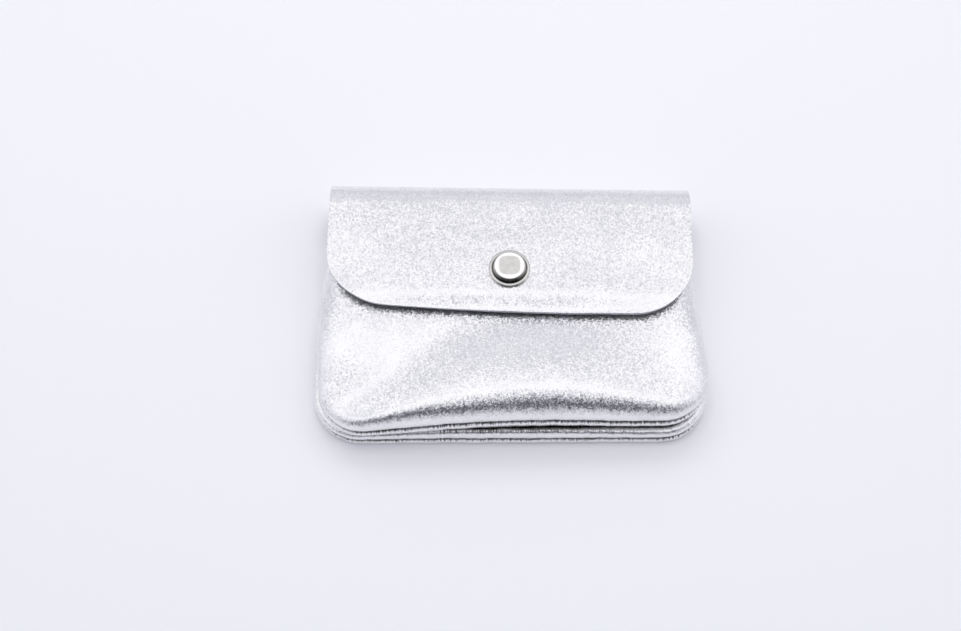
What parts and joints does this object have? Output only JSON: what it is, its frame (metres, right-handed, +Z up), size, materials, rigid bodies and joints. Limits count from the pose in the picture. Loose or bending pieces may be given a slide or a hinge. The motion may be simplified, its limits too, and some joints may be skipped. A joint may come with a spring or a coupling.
{
  "type": "leather coin purse wallet",
  "caption": "Small soft-leather purse wallet with turned, sewn pockets and a flap that shuts on a press stud.",
  "frame": {"origin": "under the centre of the shut purse, on the surface that its back lies on", "axes": "+X across the purse along the fold, +Y from the bottom edge to the fold, +Z up out of the flap"},
  "size_m": [0.1187, 0.0822, 0.0242],
  "materials": {
    "silver_leather": "metallic foil, fine grain",
    "nickel": "polished nickel",
    "spring_wire": "bright wire",
    "thread": "polyester sewing thread"
  },
  "bodies": {
    "purse": {"back_panel": "silver_leather", "rear_divider": "silver_leather", "front_divider": "silver_leather", "front_panel": "silver_leather", "front_seam_thread": "thread", "middle_seam_thread": "thread", "rear_seam_thread": "thread", "stud": "nickel", "stud_rivet": "nickel"},
    "fold": {"fold_strip": "silver_leather"},
    "flap": {"flap": "silver_leather", "stud_cap": "nickel", "stud_socket": "nickel", "stud_spring": "spring_wire"}
  },
  "joints": [
    {"name": "fold_bend", "type": "hinge", "parent": "purse", "child": "fold", "pos_m": [0, 0.039, 0.002], "axis": [-1, 0, 0], "range_deg": [0, 86], "deforming": ["stud_spring"]},
    {"name": "flap_bend", "type": "hinge", "parent": "fold", "child": "flap", "pos_m": [0, 0.03846, 0.01736], "axis": [-1, 0, 0], "range_deg": [0, 86], "deforming": ["stud_spring"]}
  ],
  "couplings": [
    {"joint": "flap_bend", "follows": "fold_bend", "ratio": 1}
  ]
}
